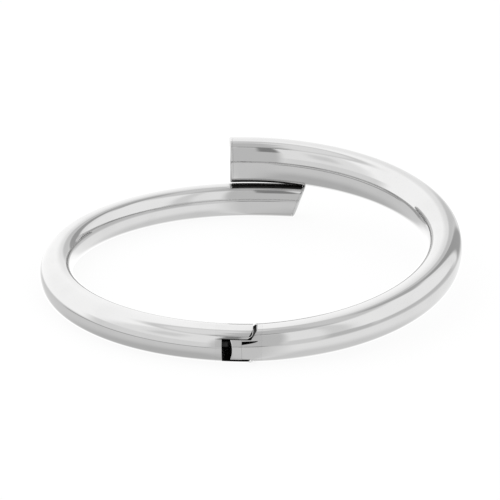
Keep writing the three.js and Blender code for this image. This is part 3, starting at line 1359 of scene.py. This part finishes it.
@dataclass(frozen=True)
class SpringCoil:
    """The coil spring behind the plunger, with flat-ended closed turns."""

    line: ArmLine
    start: float = 5.0
    length: float = 2.9
    radius: float = 0.68
    wire: float = 0.13
    turns: float = 5.0
    keep: float = 0.73
    end_ease: float = 0.05
    steps: int = 240
    wire_sides: int = 16

    def build(self, finish: SteelFinish, material: bpy.types.Material) -> None:
        """Builds, dresses and fixes the spring.

        Args:
            finish: The steel that it is made of.
            material: That steel's material.
        """
        share = np.linspace(0.0, 1.0, self.steps)
        angle = share * self.turns * 2 * math.pi
        eased = share + np.sin(2 * math.pi * share) * -self.end_ease
        along = self.start + self.wire + eased * (self.length - 2 * self.wire)
        middle = np.column_stack([-along, self.radius * np.cos(angle), self.radius * np.sin(angle)])
        heading = np.gradient(middle, axis=0)
        heading /= np.linalg.norm(heading, axis=1, keepdims=True)
        outward = np.column_stack([np.zeros(self.steps), np.cos(angle), np.sin(angle)])
        side = np.cross(heading, outward)
        turn = np.arange(self.wire_sides) * 2 * math.pi / self.wire_sides
        shift = np.cos(turn)[None, :, None] * outward[:, None] + np.sin(turn)[None, :, None] * side[:, None]
        rings = middle[:, None] + self.wire * shift
        rings = np.concatenate([np.repeat(middle[:1, None], self.wire_sides, 1), rings])
        rings = np.concatenate([rings, np.repeat(middle[-1:, None], self.wire_sides, 1)])
        base = np.array([self.line.hinge.x, self.line.hinge.y, self.line.centre_at_hinge])
        points = (rings + base).reshape(-1, 3)
        piece = Piece()
        piece.add(points, grid_faces(len(rings), self.wire_sides, False, True), np.zeros(len(points)))
        made = new_object("spring", piece.mesh("spring"))
        finish_mesh(made, mesh_points(made.data))
        finish.fit(made, material, Body.LEFT_HALF, "hinge_spring")
        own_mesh(made)


# ------------------------------------------------------------------ the studio


@dataclass(frozen=True)
class TentPanel:
    """A patch of the light tent, by its directions in degrees and its brightness.

    Azimuth 0 is towards the camera and 90 to the right. brightness is how a polished arm that
    mirrors the panel looks, from 0 to 1.
    """

    left: float
    right: float
    bottom: float
    top: float
    brightness: float
    side_softness: float = 6.0
    top_softness: float = 3.0

    @staticmethod
    def socket_names() -> tuple[str, ...]:
        """The group inputs that a panel sets."""
        sideways = ("Centre", "Half Width", "Side Softness")
        return (*sideways, "Middle", "Half Height", "Top Softness", "Panel Light")

    @property
    def light(self) -> float:
        """The radiance that gives the brightness on polished steel."""
        linear = ((self.brightness + SRGB_OFFSET) / (1.0 + SRGB_OFFSET)) ** SRGB_POWER
        return linear / POLISHED.colour

    def sockets(self) -> dict[str, float]:
        """The values of the group's inputs."""
        values = (
            (self.left + self.right) / 2,
            (self.right - self.left) / 2,
            self.side_softness,
            (self.bottom + self.top) / 2,
            (self.top - self.bottom) / 2,
            self.top_softness,
            self.light,
        )
        return dict(zip(self.socket_names(), values))


@dataclass(frozen=True)
class Studio:
    """A light tent over a pale table, and the camera."""

    target: Vector
    azimuth: float = 3.0
    elevation: float = 25.0
    distance: float = 322.0
    roll: float = 0.45
    focal_share: float = 3.848
    shift_x: float = 0.0036
    shift_y: float = 0.0318
    floor_size: float = 3.0
    floor_glow: float = 0.9
    floor_shade: float = 0.1
    tent_light: float = 0.9
    sensor: float = 36.0
    near: float = 0.01
    table_sides: int = 96
    table_drop: float = 5e-5

    def camera(self) -> None:
        """Sets up the camera."""
        az, el, roll = (math.radians(a) for a in (self.azimuth, self.elevation, self.roll))
        back = Vector((math.sin(az) * math.cos(el), -math.cos(az) * math.cos(el), math.sin(el)))
        right = Vector((math.cos(az), math.sin(az), 0.0))
        up = back.cross(right)
        tilted_right = right * math.cos(roll) - up * math.sin(roll)
        tilted_up = right * math.sin(roll) + up * math.cos(roll)
        turn = Matrix((tilted_right, tilted_up, back)).transposed().to_4x4()
        lens = bpy.data.cameras.new("camera")
        lens.sensor_width = self.sensor
        lens.lens = self.focal_share * lens.sensor_width
        lens.shift_x, lens.shift_y = self.shift_x, self.shift_y
        lens.clip_start = self.near
        made = bpy.data.objects.new("camera", lens)
        made.matrix_world = Matrix.Translation((self.target + back * self.distance) * MM) @ turn
        bpy.context.scene.collection.objects.link(made)
        bpy.context.scene.camera = made

    def floor(self) -> None:
        """Lays the pale table, which glows so that it hardly takes a shadow.

        The steel mirrors the tent's own table side in its place.
        """
        shaped = bmesh.new()
        bmesh.ops.create_circle(shaped, cap_ends=True, segments=self.table_sides, radius=self.floor_size)
        bmesh.ops.translate(shaped, verts=shaped.verts, vec=(0.0, 0.0, -self.table_drop))
        mesh = bpy.data.meshes.new("table")
        shaped.to_mesh(mesh)
        shaped.free()
        table = new_object("table", mesh)
        pale = bpy.data.materials.new("pale_table")
        pale.use_nodes = True
        pale.node_tree.nodes.clear()
        bench = NodeBench(pale.node_tree)
        shader = bench.add("ShaderNodeBsdfPrincipled")
        shader.inputs["Base Color"].default_value = (self.floor_shade,) * 3 + (1.0,)
        shader.inputs["Roughness"].default_value = 1.0
        shader.inputs["Specular IOR Level"].default_value = 0.0
        shader.inputs["Emission Color"].default_value = (1.0, 1.0, 1.0, 1.0)
        shader.inputs["Emission Strength"].default_value = self.floor_glow
        bench.wire(shader.outputs["BSDF"], bench.add("ShaderNodeOutputMaterial").inputs["Surface"])
        mesh.materials.append(pale)
        table.visible_glossy = False

    def soft_panel(self) -> bpy.types.NodeTree:
        """A panel of the tent: a patch of sky with soft edges and a light of its own.

        Returns:
            The group, from a direction and the light behind the panel to the light with it.
        """
        names = ("Azimuth", "Elevation", "Behind", *TentPanel.socket_names())
        inputs = {name: ("NodeSocketFloat", 0.0) for name in names}
        group = new_group(Effect.SOFT_PANEL, inputs, {"Light": "NodeSocketFloat"})
        bench = NodeBench(group)
        given = bench.add("NodeGroupInput").outputs
        apart = bench.math("ABSOLUTE", bench.math("SUBTRACT", given["Azimuth"], given["Centre"]), 0.0)
        sideways = bench.math("MINIMUM", apart, bench.math("SUBTRACT", math.degrees(2 * math.pi), apart))
        upways = bench.math("ABSOLUTE", bench.math("SUBTRACT", given["Elevation"], given["Middle"]), 0.0)
        masks = []
        for away, half, soft in (
            (sideways, given["Half Width"], given["Side Softness"]),
            (upways, given["Half Height"], given["Top Softness"]),
        ):
            fade = bench.add("ShaderNodeMapRange", interpolation_type="SMOOTHSTEP")
            bench.wire(away, fade.inputs["Value"])
            bench.wire(bench.math("SUBTRACT", half, soft), fade.inputs["From Min"])
            bench.wire(bench.math("ADD", half, soft), fade.inputs["From Max"])
            fade.inputs["To Min"].default_value = 1.0
            fade.inputs["To Max"].default_value = 0.0
            masks.append(fade.outputs["Result"])
        mask = bench.math("MULTIPLY", *masks)
        gain = bench.math("MULTIPLY", mask, bench.math("SUBTRACT", given["Panel Light"], given["Behind"]))
        result = bench.add("NodeGroupOutput")
        bench.wire(bench.math("ADD", given["Behind"], gain), result.inputs["Light"])
        return group

    def tent(self) -> None:
        """Hangs the light tent round the bangle, panel over panel."""
        world = bpy.data.worlds.new("tent")
        bpy.context.scene.world = world
        world.use_nodes = True
        world.node_tree.nodes.clear()
        bench = NodeBench(world.node_tree)
        place = bench.add("ShaderNodeTexCoord").outputs["Generated"]
        split = bench.add("ShaderNodeSeparateXYZ")
        bench.wire(place, split.inputs["Vector"])
        x, y, z = (split.outputs[axis] for axis in "XYZ")
        to_front = bench.math("MULTIPLY", y, -1.0)
        azimuth = bench.math("MULTIPLY", bench.math("ARCTAN2", x, to_front), math.degrees(1.0))
        elevation = bench.math("MULTIPLY", bench.math("ARCSINE", z, 0.0), math.degrees(1.0))
        group = self.soft_panel()
        light: object = self.tent_light
        for panel in TENT_PANELS:
            node = bench.add("ShaderNodeGroup", node_tree=group)
            bench.wire(azimuth, node.inputs["Azimuth"])
            bench.wire(elevation, node.inputs["Elevation"])
            bench.feed(light, node.inputs["Behind"])
            for name, value in panel.sockets().items():
                node.inputs[name].default_value = value
            light = node.outputs["Light"]
        back = bench.add("ShaderNodeBackground")
        back.inputs["Color"].default_value = (1.0, 1.0, 1.0, 1.0)
        bench.wire(light, back.inputs["Strength"])
        bench.wire(back.outputs["Background"], bench.add("ShaderNodeOutputWorld").inputs["Surface"])

    def build(self) -> None:
        """Sets up the camera, the table and the light."""
        self.camera()
        self.floor()
        self.tent()
        bpy.context.scene.view_settings.view_transform = "Standard"


# ------------------------------------------------------------------ the whole bangle


POLISHED = SteelFinish(
    name="polished_steel",
    slot="polished_steel",
    colour=0.585,
    warmth=0.002,
    roughness=0.045,
    haze_roughness=0.035,
    line_roughness=0.03,
    haze_shade=0.97,
    bump=0.25,
)
HINGE_STEEL = replace(
    POLISHED,
    name="hinge_steel",
    slot="hinge_steel",
    colour=0.575,
    roughness=0.055,
    haze_roughness=0.04,
    line_roughness=0.04,
    haze_shade=0.96,
    bump=0.3,
    lines_across=12.0,
)
# The plunger is pin steel painted near black, as shade for its place deep in the bore behind the slot.
PLUNGER_STEEL = SteelFinish(
    name="plunger_painted_shade",
    slot="pin_steel",
    colour=0.045,
    warmth=0.0,
    roughness=0.4,
    haze_roughness=0.1,
    line_roughness=0.1,
    haze_shade=0.8,
    bump=0.6,
    lines_across=20.0,
)
# Near-black hinge steel that paints shade into the hinge's recesses and onto the left arm's top under the
# right arm's end.
PAINTED_SHADE_STEEL = replace(
    PLUNGER_STEEL,
    name="painted_shade_steel",
    slot="hinge_steel",
    colour=0.035,
    warmth=0.01,
    roughness=0.5,
    lines_across=14.0,
)
PIN_STEEL = replace(
    PLUNGER_STEEL, name="pin_steel", colour=0.5, roughness=0.22, haze_roughness=0.06, haze_shade=0.9
)
SPRING_STEEL = replace(
    PLUNGER_STEEL,
    name="spring_steel",
    slot="spring_steel",
    colour=0.38,
    warmth=-0.01,
    roughness=0.3,
    haze_roughness=0.08,
    haze_shade=0.85,
)


# Each panel's left, right, bottom, top, brightness, side softness and top softness.
TENT_PANELS = (
    # the table's side of the tent
    TentPanel(-145, -12, -100, -14, 0.76, 8, 1.2),
    TentPanel(-140, -15, -100, -38, 0.67, 15, 14),
    TentPanel(14, 152, -100, -13, 0.86, 10, 3),
    TentPanel(20, 150, -100, -42, 0.77, 15, 14),
    TentPanel(150, 215, -70, -9, 0.90, 9, 4),
    # the walls
    TentPanel(-200, 200, -4, 64, 0.86, 6, 4),
    TentPanel(-180, -72, -9, 62, 0.94, 9, 4),
    TentPanel(-82, -16, -13, 15, 0.81, 7, 2),
    TentPanel(-52, -34, 30, 52, 0.79, 5, 6),
    TentPanel(-16, 15, -10, 62, 0.71, 3, 3),
    TentPanel(-16, -4, 40, 68, 0.48, 2, 3),
    TentPanel(15, 34, -14, 8, 0.78, 3, 3),
    TentPanel(34, 46, -9, 62, 0.79, 4, 3),
    TentPanel(34, 60, -10, 8, 0.70, 4, 3),
    TentPanel(60, 125, -9, 2, 0.72, 6, 2),
    TentPanel(50, 122, 5, 60, 0.89, 5, 3),
    TentPanel(133, 151, -7, 66, 0.59, 3, 5),
    TentPanel(151, 166, 2, 66, 0.74, 4, 5),
    # the roof
    TentPanel(-200, 200, 70, 110, 0.76, 6, 4),
    TentPanel(-170, -40, 68, 84, 0.84, 9, 3),
    TentPanel(-28, 60, 66, 110, 0.70, 6, 3),
    TentPanel(118, 150, 52, 71, 0.64, 7, 4),
    TentPanel(-200, 200, 84, 110, 0.70, 6, 2),
    # the dark lines where the walls meet the table and the roof
    TentPanel(-104, -14, -15.2, -12.6, 0.56, 5, 0.6),
    TentPanel(-8, 8, -11, -8.5, 0.45, 3, 0.6),
    TentPanel(-30, 14, 64, 68, 0.50, 5, 1),
)


def arm_lines(hinge: HingePlace) -> tuple[ArmLine, ArmLine]:
    """The lines of the two arms.

    Args:
        hinge: Where the pin stands.

    Returns:
        The left arm's and the right arm's line.
    """
    left = ArmLine(
        side=Side.LEFT,
        hinge=hinge,
        hinge_width=6.0,
        end_width=4.8,
        end_height=6.15,
        end_angle=math.radians(194.4),
        end_lean=math.radians(19.5),
        end_bend=0.5,
    )
    passing_gap = 0.25
    right = ArmLine(
        side=Side.RIGHT,
        hinge=hinge,
        hinge_width=5.4,
        end_width=6.6,
        end_height=8.2,
        end_angle=math.radians(188.4),
        end_outset=0.9,
        end_climb=left.flat_share * left.end_height + passing_gap,
    )
    return left, right


def fittings(line: ArmLine, sizes: HingeSizes) -> list[TurnedPiece]:
    """The pin and the plunger.

    Args:
        line: The left arm's line.
        sizes: The hinge's sizes.

    Returns:
        The two turned pieces.
    """
    x, y, centre = line.hinge.x, line.hinge.y, line.centre_at_hinge
    bevel, r, low = sizes.bevel, sizes.pin_radius, sizes.pin_gap
    top = 2 * centre - sizes.pin_cover - low
    pin = TurnedPiece(
        name="pin",
        node="hinge_pin",
        body=Body.LEFT_HALF,
        profile=(
            (0.0, low),
            (r - bevel, low),
            (r, low + bevel),
            (r, top - bevel),
            (r - bevel, top),
            (0.0, top),
        ),
        base=Vector((x, y, 0.0)),
        axis=Vector((0.0, 0.0, 1.0)),
    )
    face, r, thin = sizes.nose_reach + sizes.plunger_gap, sizes.plunger_radius, sizes.spigot_radius
    tail = face + sizes.plunger_length
    end = tail + sizes.spigot_length
    body = ((0.0, face), (r - bevel, face), (r, face + bevel), (r, tail - bevel), (r - bevel, tail))
    spigot = ((thin, tail), (thin, end - bevel), (thin - bevel, end), (0.0, end))
    plunger = TurnedPiece(
        name="plunger",
        node="hinge_plunger",
        body=Body.PLUNGER,
        profile=(*body, *spigot),
        base=Vector((x, y, centre)),
        axis=Vector((-1.0, 0.0, 0.0)),
    )
    return [pin, plunger]


def main() -> None:
    """Builds the bangle, piece by piece, and its studio."""
    logging.basicConfig(level=logging.INFO, format="%(name)s: %(message)s")
    effects = SharedEffects()
    polished, hinge_steel, painted_shade, pin_steel, plunger_painted_shade, spring_steel = (
        finish.material(effects)
        for finish in (POLISHED, HINGE_STEEL, PAINTED_SHADE_STEEL, PIN_STEEL, PLUNGER_STEEL, SPRING_STEEL)
    )
    hinge = HingePlace.from_frame()
    left, right = arm_lines(hinge)
    sizes = HingeSizes()
    ArmSkin(left, Body.LEFT_HALF, "left_arm", contact_from=0.874).build(POLISHED, polished, painted_shade)
    ArmSkin(right, Body.RIGHT_HALF, "right_arm").build(POLISHED, polished, painted_shade)
    Clevis(left, sizes, Body.LEFT_HALF, "hinge_clevis", "clevis").build(HINGE_STEEL, hinge_steel, painted_shade)
    Knuckle(right, sizes, Body.RIGHT_HALF, "hinge_knuckle", "knuckle").build(HINGE_STEEL, hinge_steel, painted_shade)
    pin, plunger = fittings(left, sizes)
    pin.build(PIN_STEEL, pin_steel)
    plunger.build(PLUNGER_STEEL, plunger_painted_shade)
    SpringCoil(left).build(SPRING_STEEL, spring_steel)
    Studio(target=Vector((hinge.x, hinge.y + left.half_depth, left.centre_at_hinge))).build()


if __name__ == "__main__":
    main()
